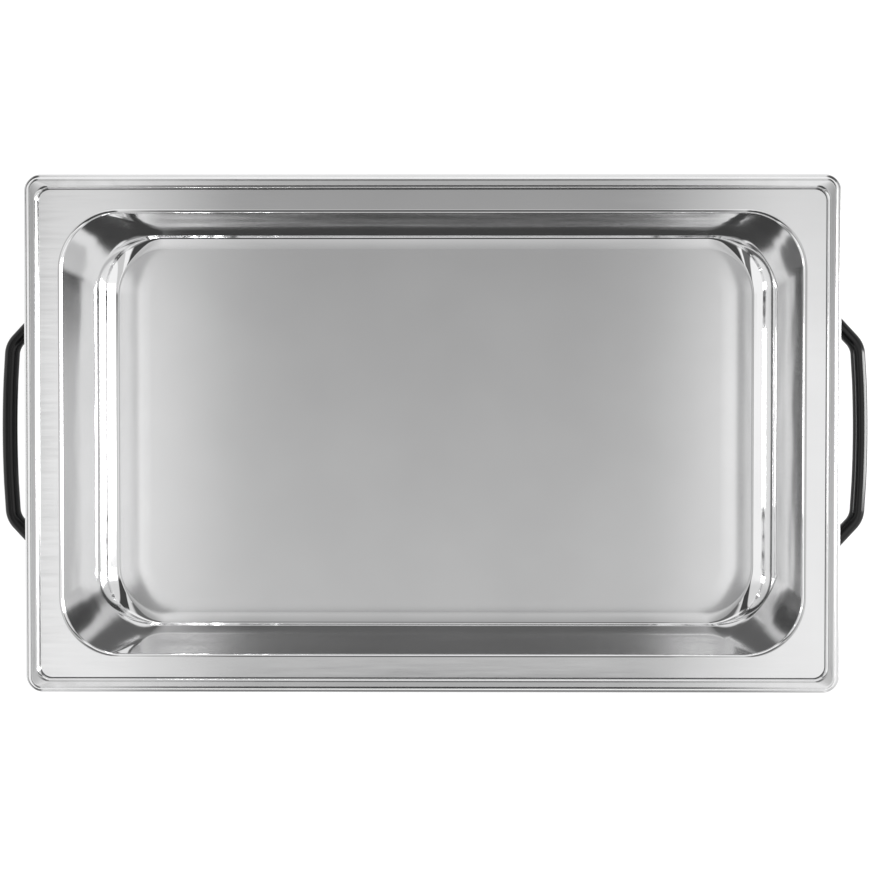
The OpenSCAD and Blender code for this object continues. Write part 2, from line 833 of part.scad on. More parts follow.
module thermostat() {
  back = front_in + tstat_depth;
  color("tan")
    difference() {
      union() {
        block([0, front_in + tstat_depth / 2, control_z], [tstat_width, tstat_depth, tstat_height]);
        for (s = [-1, 1])
          block([s * tstat_tab_offset, back + tab[2] / 2, control_z], [tab[1], tab[2], tab[0]]);
      }
      rod_y([0, front_in - cut, control_z], spindle_r + running_fit, spindle_seat + cut);
      for (s = [-1, 1])
        rod_y([s * tstat_pitch / 2, front_in - cut, control_z], tstat_screw[0] + running_fit,
          tstat_screw_reach + loose + cut);
    }
}
module thermostat_screws() {
  length = tstat_screw[2] + panel_sheet + wall + tstat_screw_reach;
  color("silver")
    for (s = [-1, 1])
      translate([s * tstat_pitch / 2, panel_out - tstat_screw[2], control_z]) {
        rod_y([0, 0, 0], tstat_screw[1], tstat_screw[2]);
        rod_y([0, 0, 0], tstat_screw[0], length);
      }
}

module sensor_bulb() {
  color("goldenrod") rod_x([bulb_x, bulb_y, bulb_z], bulb_r, bulb_length);
}
module bulb_clip() {
  x = bulb_x + bulb_length / 2;
  height = bulb_d + contact + clip_sheet;
  channel = bulb_r + contact;
  color("silver")
    difference() {
      block([x, bulb_y, spreader_under - height / 2], [2 * clip_half.x, 2 * clip_half.y, height]);
      rod_x([x - clip_half.x - cut, bulb_y, bulb_z], channel, 2 * (clip_half.x + cut));
      block([x, bulb_y, spreader_under],
        [2 * (clip_half.x + cut), 2 * channel, 2 * (spreader_under - bulb_z)]);
    }
}
module capillary() {
  back = front_in + tstat_depth;
  turn_x = (clamp_width / 2 + bulb_x) / 2;
  path = [
    [bulb_x - contact, bulb_y, bulb_z],
    [bulb_x - 4, bulb_y, bulb_z],
    [turn_x, bulb_y - 6, (bulb_z + edge_z) / 2],
    [turn_x, bulb_y - 14, edge_z],
    [turn_x, -outer_leg_y, edge_z],
    [turn_x / 2, -shield_half.y, edge_z],
    [0, -shield_half.y - 6, edge_z - 4],
    [0, back + 4, control_z + 6],
    [0, back + contact, control_z + 6]
  ];
  color("goldenrod") tube(smooth(path), capillary_r);
}

module switch_body() {
  room = [rocker_half.x + rocker_side_gap, rocker_half.y + rocker_end_gap];
  face = panel_out - bezel_height;
  back = front_in + switch_depth;
  color([0.1, 0.1, 0.1])
    difference() {
      union() {
        block([switch_x, (face + panel_out) / 2, control_z],
          [2 * bezel_half.x, bezel_height, 2 * bezel_half.y]);
        block([switch_x, (panel_out + back) / 2, control_z],
          [2 * switch_half.x, back - panel_out, 2 * switch_half.y]);
        for (s = [-1, 1])
          block([switch_x, back + tab[2] / 2, control_z + s * switch_tab_offset], [tab[0], tab[2], tab[1]]);
      }
      block([switch_x, pivot_y + (rocker_room - pivot_depth - bezel_height) / 2 - cut, control_z],
        [2 * room.x, rocker_room + pivot_depth + bezel_height + 2 * cut, 2 * room.y]);
      rod_x([switch_x - room.x - pin_length - loose, pivot_y, control_z], pin_r + running_fit,
        2 * (room.x + pin_length + loose));
    }
}
module switch_rocker() {
  color([0.6, 0.05, 0.04])
    translate([switch_x, pivot_y, control_z])
      rotate([switch_throw / 2, 0, 0]) {
        translate([-rocker_half.x, 0, 0])
          rotate([90, 0, 90])
            linear_extrude(2 * rocker_half.x)
              polygon([
                [-rocker_front, -rocker_half.y], [-rocker_front + 0.8, 0], [-rocker_front, rocker_half.y],
                [0, rocker_half.y - 0.6], [rocker_back, rocker_half.y / 2],
                [rocker_back, -rocker_half.y / 2], [0, -rocker_half.y + 0.6]
              ]);
        rod_x([-rocker_half.x - rocker_side_gap - pin_length, 0, 0], pin_r,
          2 * (rocker_half.x + rocker_side_gap + pin_length));
      }
}

// Lamp lens with a domed front, and the lamp body behind it
module lens(x, shade) {
  color(shade)
    translate([x, panel_out, control_z])
      rotate([90, 0, 0])
        rotate_extrude()
          polygon(concat([[0, 0], [lens_r, 0], [lens_r, lens_rim]],
            [for (i = [0:steps]) let (a = 90 * i / steps)
              [lamp_r * cos(a), lens_rim + (lens_height - lens_rim) * sin(a)]]));
}
module lamp_body(x) {
  color("ivory") rod_y([x, panel_out, control_z], lamp_r, front_in + lamp_length - panel_out);
}
module power_lamp_lens() { lens(lamp_spots[0], "seagreen"); }
module heat_lamp_lens() { lens(lamp_spots[1], "darkorange"); }
module power_lamp_body() { lamp_body(lamp_spots[0]); }
module heat_lamp_body() { lamp_body(lamp_spots[1]); }
module lamp_nuts() {
  color("silver")
    for (x = lamp_spots)
      translate([x, front_in, control_z])
        rotate([-90, 0, 0])
          difference() {
            cylinder(r = lamp_nut[0], h = lamp_nut[1], $fn = 6);
            rod_z([0, 0, -cut], lamp_r + running_fit, lamp_nut[1] + 2 * cut);
          }
}

module heat_spreader() {
  color("lightsteelblue")
    difference() {
      slab(spreader_half, shield_corner, spreader_under, water_under);
      for (p = stud_spots)
        rod_z(at(p, spreader_under - cut), stud_r + loose, spreader_sheet + 2 * cut);
    }
}

module heating_element() {
  half_turn = element_pitch / 2;
  color("dimgray")
    translate([0, 0, element_z]) {
      for (s = [-1, 1]) {
        rod_x([-element_bend, s * outer_leg_y, 0], element_r, element_bend + element_end);
        rod_x([-element_bend, s * half_turn, 0], element_r, 2 * element_bend);
        translate([-element_bend, s * element_pitch, 0])
          rotate([0, 0, 90])
            rotate_extrude(angle = 180)
              translate([half_turn, 0])
                circle(element_r);
      }
      translate([element_bend, 0, 0])
        rotate([0, 0, -90])
          rotate_extrude(angle = 180)
            translate([half_turn, 0])
              circle(element_r);
    }
}
module element_terminals() {
  color("ivory")
    for (s = [-1, 1]) {
      rod_x([element_end, s * outer_leg_y, element_z], collar[0], collar[1]);
      rod_x([element_end, s * outer_leg_y, element_z], terminal_pin[0], collar[1] + terminal_pin[1]);
    }
}
module clamp_bars() {
  color("silver")
    difference() {
      for (x = clamp_spots)
        block([x, 0, clamp_top - clamp_sheet / 2], [clamp_width, 2 * clamp_half, clamp_sheet]);
      for (p = stud_spots)
        rod_z(at(p, clamp_under - cut), stud_r + loose, clamp_sheet + 2 * cut);
    }
}
module element_studs() {
  color("silver")
    for (p = stud_spots)
      rod_z(at(p, stud_end), stud_r, water_under - stud_end);
}
module stud_nuts() {
  color("gray")
    for (p = stud_spots, z = [clamp_under - nut_height, shield_top, shield_under - nut_height])
      nut(at(p, z), stud_r, nut_height);
}
module heat_shield() {
  inner = shield_half - [1, 1] * shield_sheet;
  color("lightgray")
    difference() {
      slab(shield_half, shield_corner, shield_under, shield_top + shield_edge);
      slab(inner, shield_corner - shield_sheet, shield_top, shield_top + shield_edge + cut);
      for (p = stud_spots)
        rod_z(at(p, shield_under - cut), stud_r + loose, shield_sheet + 2 * cut);
      rod_z(at(wire_slot, shield_under - cut), wire_slot_r, shield_sheet + 2 * cut);
    }
}
module thermal_cutout() {
  color("saddlebrown") {
    rod_z(at(cutout_spot, spreader_under - cutout_height), cutout_r, cutout_height);
    block(at(cutout_spot, cutout_tab_z), [2 * (cutout_r + cutout_tab.x), cutout_tab.y, cutout_tab.z]);
  }
}

module inlet_plate() {
  hole = inlet_half + [1, 1] * (inlet_shell + loose);
  through = inlet_plate_sheet + 2 * cut;
  color("dimgray")
    difference() {
      translate([inlet_face, 0, control_z])
        rotate([90, 0, 90])
          linear_extrude(inlet_plate_sheet)
            rounded_rect(inlet_plate_half, 4);
      block([left_out - inlet_plate_sheet / 2, 0, control_z], [through, 2 * hole.x, 2 * hole.y]);
      rivet_holes(inlet_face - cut, through);
    }
}
module inlet_rivets() {
  grip = inlet_plate_sheet + wall;
  color("silver")
    for (sy = [-1, 1], sz = [-1, 1])
      translate([inlet_face, sy * rivet_line.x, control_z + sz * rivet_line.y]) {
        rod_x([-rivet[2], 0, 0], rivet[0], grip + 2 * rivet[2]);
        rod_x([-rivet[2], 0, 0], rivet[1], rivet[2]);
        rod_x([grip, 0, 0], rivet[1], rivet[2]);
      }
}
module power_inlet() {
  body = inlet_half + [1, 1] * inlet_shell;
  color([0.09, 0.09, 0.09])
    difference() {
      union() {
        block([inlet_face - inlet_bezel_t / 2, 0, control_z],
          [inlet_bezel_t, inlet_bezel, inlet_bezel_height]);
        block([inlet_face + inlet_depth / 2, 0, control_z], [inlet_depth, 2 * body.x, 2 * body.y]);
      }
      block([inlet_mouth + (socket_depth - cut) / 2, 0, control_z],
        [socket_depth + cut, 2 * inlet_half.x, 2 * inlet_half.y]);
      for (p = blade_spots)
        block([inlet_back, p.x, control_z + p.y],
          [inlet_depth, blade.x + 2 * running_fit, blade.y + 2 * running_fit]);
    }
}
module inlet_pins() {
  start = inlet_mouth + blade_setback;
  color("gold")
    for (p = blade_spots)
      block([(start + blade_end) / 2, p.x, control_z + p.y], [blade_end - start, blade.x, blade.y]);
}

module terminal_block() {
  size = terminal_size;
  color("ivory")
    difference() {
      block([terminal_spot.x, terminal_spot.y, base_top + size.z / 2], size);
      for (i = [-1:1], s = [-1, 1])
        rod_x([terminal_spot.x + s * size.x / 2 - terminal_bore, terminal_spot.y + i * terminal_pitch,
          terminal_hole_z], wire_r + loose, 2 * terminal_bore);
      for (s = [-1, 1])
        rod_z([terminal_spot.x, terminal_spot.y + s * terminal_pitch / 2, base_top - cut],
          terminal_screw[0] + running_fit, size.z + 2 * cut);
    }
}
module terminal_screws() {
  head_z = base_top + terminal_size.z;
  color("silver")
    for (s = [-1, 1])
      translate([terminal_spot.x, terminal_spot.y + s * terminal_pitch / 2, 0]) {
        rod_z([0, 0, head_z], terminal_screw[1], terminal_screw[2]);
        rod_z([0, 0, foot_height - 2], terminal_screw[0], head_z + terminal_screw[2] - foot_height + 2);
      }
}
module earth_stud() {
  color("silver") {
    rod_z(at(earth_spot, base_top), stud_r, earth_height);
    rod_z(at(earth_spot, base_top), earth_washer[0], earth_washer[1]);
    translate(at(earth_spot, base_top)) cylinder(r = 1.9 * stud_r, h = earth_washer[1] + nut_height, $fn = 6);
  }
}

// Ends of the wires: inlet blades, terminal block, switch, thermostat, heater pins and cutout
function blade_tip(i) = [blade_end + wire_gap, blade_spots[i].x, control_z + blade_spots[i].y];
function pole(i, side) = [
  terminal_spot.x + side * (terminal_size.x / 2 - terminal_bore + 1),
  terminal_spot.y + i * terminal_pitch, terminal_hole_z
];
function switch_tab(side) =
  [switch_x, front_in + switch_depth + tab[2] + wire_gap, control_z + side * switch_tab_offset];
function tstat_tab(side) = [side * tstat_tab_offset, front_in + tstat_depth + tab[2] + wire_gap, control_z];
function heater_pin(side) = [terminal_end + wire_gap, side * outer_leg_y, element_z];
function cutout_end(side) =
  at(cutout_spot, cutout_tab_z) + [side * (cutout_r + cutout_tab.x + wire_gap), 0, 0];

// Straight steps out of a wire's end
out_x = [wire_straight, 0, 0];
out_y = [0, wire_straight, 0];

module live_wire() {
  a = blade_tip(0);
  b = pole(-1, -1);
  wire([a, a + out_x, (a + b) / 2 + [3, -4, -2], b - 2.6 * out_x + [0, 3, 1], b - out_x, b]);
}
module neutral_wire() {
  a = blade_tip(1);
  b = pole(1, -1);
  wire([a, a + out_x, (a + b) / 2 + [4, 4, -2], b - 2.6 * out_x + [0, 4, 1], b - out_x, b]);
}
module earth_wire() {
  a = blade_tip(2);
  b = at(earth_spot, base_top + earth_washer[1] + nut_height / 2) - [0, 1.9 * stud_r + wire_gap, 0];
  wire([a, a + out_x, (a + b) / 2 + [4, 0, 8], b - 2.6 * out_y + [0, 0, 10], b - out_y, b]);
}
module switch_wire() {
  a = pole(-1, 1);
  b = switch_tab(-1);
  wire([a, a + out_x, a + 3 * out_x + [0, -6, 0], (a + b) / 2 + [0, 6, -8], b + 2.6 * out_y - [8, 0, 5],
    b + out_y, b]);
}
module thermostat_wire() {
  a = switch_tab(1);
  b = tstat_tab(-1);
  wire([a, a + out_y, a + 2 * out_y + [10, 2, -2], (a + b) / 2 + [4, 18, -6], b + 2 * out_y - [8, 0, 3],
    b + out_y, b]);
}
module element_live_wire() {
  a = tstat_tab(1);
  b = heater_pin(-1);
  wire([a, a + out_y, a + 2 * out_y + [12, -3, -8], (a + b) / 2 + [0, -16, -18], b + [-2, -32, -24],
    b + 2 * out_x + [4, -14, -9], b + 2 * out_x + [0, -3, -1], b + out_x, b]);
}
module cutout_wire() {
  a = pole(1, 1);
  b = cutout_end(-1);
  wire([a, a + out_x, at(wire_slot, shield_under - 12) - [8, -4, 0], at(wire_slot, shield_under - 3),
    at(wire_slot, shield_top + 1), at(wire_slot, lane_z) + [6, 0, 0], [b.x - 16, wire_slot.y, lane_z],
    b - 2 * out_x + [0, 4, -3], b - out_x, b]);
}
module element_neutral_wire() {
  a = cutout_end(1);
  b = heater_pin(1);
  lane_y = 0.72 * element_pitch;
  wire([a, a + out_x, a + 2 * out_x + [2, 10, -4], [a.x + 16, -element_pitch / 2, lane_z],
    [a.x + 18, element_pitch / 4, lane_z], [a.x + 28, lane_y, lane_z], [clamp_pitch / 2, lane_y, lane_z],
    [clamp_pitch + 20, lane_y, lane_z], b + [-22, -14, -1], b + 2 * out_x - [4, 9, 1],
    b + 2 * out_x - [0, 3, 0], b + out_x, b]);
}
// Two leads that join the backs of the lamps
module lamp_leads() {
  r = lamp_pitch / 2;
  for (s = [-1, 1]) {
    a = [lamp_spots[0], front_in + lamp_length + wire_gap, control_z + s * lead_offset];
    b = a + [lamp_pitch, 0, 0];
    loop = arc([a.x + r, a.y + wire_straight], r, 180, 0);
    wire(concat([a], [for (p = loop) at(p, a.z)], [b]));
  }
}

food_pan();
water_pan();
rim_gasket();
top_frame();
housing();
base_plate();
foot_front_left();
foot_front_right();
foot_rear_left();
foot_rear_right();
foot_screws();
foot_nuts();
base_screws();
handle_left();
handle_right();
handle_screws();
handle_washers();
control_panel();
knob();
spindle();
thermostat();
thermostat_screws();
sensor_bulb();
bulb_clip();
capillary();
switch_body();
switch_rocker();
power_lamp_lens();
heat_lamp_lens();
power_lamp_body();
heat_lamp_body();
lamp_nuts();
heat_spreader();
heating_element();
element_terminals();
clamp_bars();
element_studs();
stud_nuts();
heat_shield();
thermal_cutout();
inlet_plate();
inlet_rivets();
power_inlet();
inlet_pins();
terminal_block();
terminal_screws();
earth_stud();
live_wire();
neutral_wire();
earth_wire();
switch_wire();
thermostat_wire();
element_live_wire();
cutout_wire();
element_neutral_wire();
lamp_leads();
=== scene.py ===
"""Looks of the electric buffet warmer: pressed pans, handles, controls, light and camera."""
import json
from math import atan2, cos, hypot, pi, radians, sin, tan

import bpy
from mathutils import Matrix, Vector


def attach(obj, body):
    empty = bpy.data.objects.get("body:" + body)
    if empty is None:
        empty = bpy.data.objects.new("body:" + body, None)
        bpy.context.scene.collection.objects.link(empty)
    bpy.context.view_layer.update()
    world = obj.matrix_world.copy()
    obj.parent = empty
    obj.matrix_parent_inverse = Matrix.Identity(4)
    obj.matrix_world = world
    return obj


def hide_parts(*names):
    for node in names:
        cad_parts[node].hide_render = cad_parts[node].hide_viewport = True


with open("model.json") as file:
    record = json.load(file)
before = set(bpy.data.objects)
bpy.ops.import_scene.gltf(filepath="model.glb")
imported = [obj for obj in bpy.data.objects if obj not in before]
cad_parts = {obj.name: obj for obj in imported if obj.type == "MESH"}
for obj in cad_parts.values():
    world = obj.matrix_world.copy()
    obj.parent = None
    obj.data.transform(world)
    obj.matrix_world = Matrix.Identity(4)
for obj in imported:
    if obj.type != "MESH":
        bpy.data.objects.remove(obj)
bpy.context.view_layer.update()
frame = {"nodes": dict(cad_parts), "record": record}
nodes = frame["nodes"]

# Sizes in millimetres, as in the part's source; MM turns them into metres
MM = 0.001
SHEET = 1.0
PAN_TOP = 166.2
SEAT = 163.2
FLANGE, FLANGE_CORNER, FLANGE_ROUND = (265.0, 164.7), 8.0, 0.5
OPENING, OPENING_CORNER, PAN_FLOOR = (250.0, 149.0), 39.0, 102.2
WALL_LEAN, WALL_STEPS, LIP = 5.0, 16, 2.4
# Kink at half height, bend radius, radius of the bend's toe and the toe's angle, on long sides and at ends
SIDE_FORM, END_FORM = (0.0, 2.2, 34.0, 12.0), (0.35, 20.0, 2.5, 32.0)
# Share of the wall's half height over which the kink is rounded
KINK_SOFT = 0.15
# Height over which the polish fades into the satin floor
SATIN_RISE = 0.3
# How much the corner radius grows from the lip to the floor
CORNER_GAIN = 9.0
# The floor's normals lean in by this angle at its ends, fading over the reach after a short rise
CROWN_ANGLE, CROWN_REACH, CROWN_RISE, CROWN_STEPS = 5.0, 24.0, 0.5, 8
WELL, WELL_CORNER = (265.1, 164.9), 8.1
RIM, RIM_CORNER, RIM_TOP = (272.4, 172.6), 9.0, 169.2
RIM_ROUND, RIM_INNER_ROUND, RIM_TILT = 3.0, 2.5, 7.0
SKIRT, SKIRT_CORNER, SKIRT_FOOT = (276.15, 175.7), 11.8, 156.2
STEP, STEP_ROUND, CREASE = 165.2, 2.4, 0.3
# Slope of the step outside the rim, along the long sides and at the ends
SIDE_TILT, END_TILT = 25.0, 0.0
BASIN, BASIN_CORNER, BASIN_FLOOR = (254.0, 153.0), 43.0, 73.2
HOUSE_X = 258.5
HANDLE_Z, HANDLE_REACH, HANDLE_PITCH = 122.2, 48.8, 192.0
GRIP_HALF, GRIP_BOW, LEG, HANDLE_BEND = 62.0, 2.3, 15.0, 16.0
# Width of the handle's section and height of its flat side, then the pads at its feet
HANDLE_SIZE = (9.6, 1.2)
PAD_R, PAD_HEIGHT, PAD_ROUND, PAD_HOLE = 10.0, 4.0, 1.6, 4.0
# Radii of a quarter of the handle's section, from its side to its top, each with the angle it ends at
HANDLE_ROUNDS = ((3.2, 58.0), (7.0, 76.0), (2.0, 90.0))
PANEL_Y, CONTROL_Z = -158.7, 44.7
DIAL_R, DIAL_STEP, DIAL_MARKS, DIGIT_SIZE = 23.3, 45.0, 7, 4.4
TICK, MARK_LIFT = (2.0, 0.5), 0.06
# Width, length and depth of the knob's notch, and the room that the pointer leaves in it
KNOB_FRONT, KNOB_HALF, KNOB_NOTCH = -173.4, 18.8, (1.6, 7.0, 0.6)
NOTCH_SIDE, NOTCH_END, NOTCH_SUNK, NOTCH_BED = 0.3, 0.6, 0.2, 0.05
SWITCH_X, PIVOT_Y, SWITCH_TILT = -75.0, -156.7, 8.0
ROCKER_FRONT, ROCKER_DIP, ROCKER_HALF = 4.6, 0.8, 8.0
# Power by which a long side's profile fades into an end's round a corner
CORNER_BLEND = 4
# Places of the finishes on a pressed sheet; the last one is its underside
FLAT_FINISH, WALL_FINISH, FLOOR_FINISH = 0, 1, 2
CORNER_STEPS, BEND_STEPS, EDGE_STEPS, SECTION_STEPS = 20, 8, 6, 5
PAD_STEPS, BAR_STEPS = 40, 16


def math_node(tree, operation, *values):
    """Output of a Math node; a value is a number or another node's output."""
    node = tree.nodes.new("ShaderNodeMath")
    node.operation = operation
    for socket, value in zip(node.inputs, values):
        if isinstance(value, (int, float)):
            socket.default_value = value
        else:
            tree.links.new(value, socket)
    return node.outputs[0]


def ramp(tree, value, low, high, to_low=0.0, to_high=1.0, smooth=True):
    """Value mapped from low..high to to_low..to_high."""
    node = tree.nodes.new("ShaderNodeMapRange")
    node.interpolation_type = "SMOOTHSTEP" if smooth else "LINEAR"
    tree.links.new(value, node.inputs["Value"])
    for name, number in (("From Min", low), ("From Max", high), ("To Min", to_low), ("To Max", to_high)):
        node.inputs[name].default_value = number
    return node.outputs["Result"]


def mix(tree, low, high, share):
    """Value going from low to high as share goes from 0 to 1."""
    step = math_node(tree, "SUBTRACT", high, low)
    return math_node(tree, "MULTIPLY_ADD", step, share, low)


def noise(tree, scale, stretch=(1, 1, 1), detail=3.0, rough=0.5):
    """Noise over the piece's own coordinates, in cycles a metre along each axis."""
    place = tree.nodes.new("ShaderNodeTexCoord")
    mapping = tree.nodes.new("ShaderNodeMapping")
    mapping.inputs["Scale"].default_value = stretch
    texture = tree.nodes.new("ShaderNodeTexNoise")
    texture.inputs["Scale"].default_value = scale
    texture.inputs["Detail"].default_value = detail
    texture.inputs["Roughness"].default_value = rough
    tree.links.new(place.outputs["Object"], mapping.inputs["Vector"])
    tree.links.new(mapping.outputs["Vector"], texture.inputs["Vector"])
    return texture.outputs["Fac"]


def height(tree):
    """Height of a point in the piece's own coordinates, in metres."""
    place = tree.nodes.new("ShaderNodeTexCoord")
    split = tree.nodes.new("ShaderNodeSeparateXYZ")
    tree.links.new(place.outputs["Object"], split.inputs["Vector"])
    return split.outputs["Z"]


def tint(tree, value, low, high, dark, pale):
    """Colour between dark and pale as value goes from low to high."""
    node = tree.nodes.new("ShaderNodeValToRGB")
    node.color_ramp.elements[0].position = low
    node.color_ramp.elements[1].position = high
    node.color_ramp.elements[0].color = (*dark, 1)
    node.color_ramp.elements[1].color = (*pale, 1)
    tree.links.new(value, node.inputs["Fac"])
    return node.outputs["Color"]


def bump(tree, shader, *layers):
    """Stacks bump layers of (relief, strength, distance in metres) on a shader."""
    normal = None
    for relief, strength, distance in layers:
        node = tree.nodes.new("ShaderNodeBump")
        node.inputs["Strength"].default_value = strength
        node.inputs["Distance"].default_value = distance
        tree.links.new(relief, node.inputs["Height"])
        if normal:
            tree.links.new(normal, node.inputs["Normal"])
        normal = node.outputs["Normal"]
    tree.links.new(normal, shader.inputs["Normal"])


def material(name, metallic=0.0, **constants):
    """New material; constants go straight on the Principled shader's sockets."""
    made = bpy.data.materials.new(name)
    made.use_nodes = True
    tree = made.node_tree
    shader = tree.nodes["Principled BSDF"]
    shader.inputs["Metallic"].default_value = metallic
    for key, value in constants.items():
        shader.inputs[key.replace("_", " ")].default_value = value
    return made, tree, shader


# Slow change of tone: its scale in cycles a metre and the share of the noise between its two ends
METAL_CLOUD, PLASTIC_CLOUD, CLOUD_ENDS = 14.0, 30.0, (0.3, 0.7)
GRAIN_ENDS = (0.25, 0.75)
METAL_GRAIN_DEPTH, PLASTIC_GRAIN_DEPTH = 0.0002, 0.0001


def metal(name, dark, pale, rough, grain, stretch=(1, 1, 1), grain_bump=0.05, wave=None, satin=None):
    """Metal with a drawn grain; wave is (scale, stretch, strength, metres) of a slow unevenness,
    and satin is (height, roughness) of a satin floor that the polish fades into."""
    made, tree, shader = material(name, metallic=1.0)
    fine = noise(tree, grain, stretch, detail=5.0, rough=0.6)
    cloud = noise(tree, METAL_CLOUD, detail=3.0)
    tree.links.new(tint(tree, cloud, *CLOUD_ENDS, dark, pale), shader.inputs["Base Color"])
    gloss = ramp(tree, fine, *GRAIN_ENDS, *rough, smooth=False)
    if satin:
        polished = ramp(tree, height(tree), satin[0] * MM, (satin[0] + SATIN_RISE) * MM)
        gloss = mix(tree, satin[1], gloss, polished)
    tree.links.new(gloss, shader.inputs["Roughness"])
    layers = [(fine, grain_bump, METAL_GRAIN_DEPTH)]
    if wave:
        layers.append((noise(tree, wave[0], wave[1], detail=2.0), wave[2], wave[3]))
    bump(tree, shader, *layers)
    return made


def plastic(name, dark, pale, rough, grain=900.0, grain_bump=0.1, **constants):
    """Moulded plastic, rubber or paint with a fine grain and a slight change of tone."""
    made, tree, shader = material(name, **constants)
    fine = noise(tree, grain, detail=2.0)
    cloud = noise(tree, PLASTIC_CLOUD, detail=4.0)
    tree.links.new(tint(tree, cloud, *CLOUD_ENDS, dark, pale), shader.inputs["Base Color"])
    tree.links.new(ramp(tree, cloud, *CLOUD_ENDS, *rough, smooth=False), shader.inputs["Roughness"])
    bump(tree, shader, (fine, grain_bump, PLASTIC_GRAIN_DEPTH))
    return made


STEEL_DARK, STEEL_PALE = (0.79, 0.79, 0.793), (0.83, 0.83, 0.833)
POLISH_DARK, POLISH_PALE = (0.85, 0.85, 0.853), (0.9, 0.9, 0.903)
SATIN, SATIN_SPREAD = 0.15, 0.03
WALL_WAVE = (24.0, (0.3, 0.3, 1), 0.3, 0.002)
SHEET_WAVE = (7.0, (1, 1, 1), 0.1, 0.002)
FLOOR_WAVE = (5.0, (1, 1, 1), 0.06, 0.004)
UPRIGHT = (0.2, 0.2, 1)
floor_steel = metal("pan_floor_steel", STEEL_DARK, STEEL_PALE, (SATIN - SATIN_SPREAD, SATIN + SATIN_SPREAD),
                    900.0, (0.25, 1, 1), 0.02, FLOOR_WAVE)
wall_steel = metal("pan_wall_steel", POLISH_DARK, POLISH_PALE, (0.03, 0.07), 160.0, UPRIGHT, 0.01,
                   WALL_WAVE, (PAN_FLOOR, SATIN))
basin_steel = metal("basin_steel", STEEL_DARK, STEEL_PALE, (0.08, 0.16), 160.0, UPRIGHT, 0.02,
                    WALL_WAVE, (BASIN_FLOOR, SATIN))
flange_steel = metal("pan_flange_steel", STEEL_DARK, STEEL_PALE, (0.06, 0.13), 420.0, (0.06, 1, 1), 0.015,
                     SHEET_WAVE)
under_steel = metal("pan_under_steel", (0.6, 0.6, 0.61), (0.7, 0.7, 0.71), (0.25, 0.4), 500.0)
rim_steel = metal("rim_steel", STEEL_DARK, STEEL_PALE, (0.13, 0.2), 420.0, UPRIGHT, 0.015, SHEET_WAVE)

finishes = {
    "pan_steel": flange_steel,
    "rim_steel": rim_steel,
    "housing_steel": metal("housing_steel", (0.5, 0.5, 0.505), (0.6, 0.6, 0.605), (0.22, 0.36), 60.0,
                           (0.35, 0.35, 22), 0.12),
    "base_steel": metal("base_steel", (0.5, 0.51, 0.52), (0.62, 0.63, 0.64), (0.35, 0.5), 160.0),
    "fastener_steel": metal("fastener_steel", (0.55, 0.55, 0.56), (0.7, 0.7, 0.71), (0.2, 0.35), 1500.0),
    "element_steel": metal("element_steel", (0.16, 0.15, 0.14), (0.32, 0.3, 0.27), (0.4, 0.6), 300.0),
    "spreader_aluminium": metal("spreader_aluminium", (0.66, 0.67, 0.68), (0.8, 0.81, 0.82), (0.3, 0.45),
                                300.0, (0.2, 1, 1)),
    "copper_tube": metal("copper_tube", (0.62, 0.29, 0.16), (0.8, 0.42, 0.26), (0.2, 0.4), 800.0),
    "pin_brass": metal("pin_brass", (0.68, 0.5, 0.2), (0.82, 0.64, 0.32), (0.18, 0.32), 900.0),
    "seal_rubber": plastic("seal_rubber", (0.03, 0.03, 0.03), (0.05, 0.05, 0.05), (0.6, 0.8)),
    "foot_rubber": plastic("foot_rubber", (0.014, 0.014, 0.015), (0.026, 0.026, 0.027), (0.55, 0.75),
                           700.0, 0.25),
    "handle_black": plastic("handle_black", (0.004, 0.004, 0.0042), (0.007, 0.007, 0.0075), (0.1, 0.18),
                            500.0, 0.02, Specular_IOR_Level=0.4),
    "panel_black": plastic("panel_black", (0.012, 0.012, 0.013), (0.02, 0.02, 0.021), (0.35, 0.5),
                           1600.0, 0.15),
    "knob_black": plastic("knob_black", (0.01, 0.01, 0.011), (0.018, 0.018, 0.019), (0.28, 0.42),
                          1200.0, 0.12),
    "switch_black": plastic("switch_black", (0.01, 0.01, 0.011), (0.02, 0.02, 0.021), (0.3, 0.45),
                            1400.0, 0.12),
    "rocker_red": plastic("rocker_red", (0.42, 0.014, 0.01), (0.52, 0.022, 0.015), (0.22, 0.34),
                          1400.0, 0.05),
    "lens_green": plastic("lens_green", (0.03, 0.3, 0.08), (0.05, 0.42, 0.12), (0.08, 0.16), 500.0, 0.05,
                          Transmission_Weight=0.35, Coat_Weight=0.6),
    "lens_amber": plastic("lens_amber", (0.75, 0.27, 0.02), (0.9, 0.36, 0.04), (0.08, 0.16), 500.0, 0.05,
                          Transmission_Weight=0.35, Coat_Weight=0.6),
    "thermostat_case": plastic("thermostat_case", (0.3, 0.17, 0.09), (0.4, 0.24, 0.14), (0.4, 0.55)),
    "ivory_plastic": plastic("ivory_plastic", (0.66, 0.62, 0.5), (0.76, 0.72, 0.6), (0.4, 0.55)),
    "wire_brown": plastic("wire_brown", (0.12, 0.05, 0.025), (0.17, 0.075, 0.04), (0.4, 0.55)),
    "wire_blue": plastic("wire_blue", (0.03, 0.1, 0.32), (0.045, 0.14, 0.42), (0.4, 0.55)),
    "wire_green": plastic("wire_green", (0.06, 0.25, 0.05), (0.5, 0.45, 0.04), (0.4, 0.55)),
}
mark_white = plastic("mark_white", (0.72, 0.72, 0.7), (0.82, 0.82, 0.8), (0.45, 0.6))
for part in frame["record"]["subparts"]:
    holder = nodes[part["node"]]
    if not holder.material_slots:
        holder.data.materials.append(None)
    for place in holder.material_slots:
        place.material = finishes[part["material_slot"]]


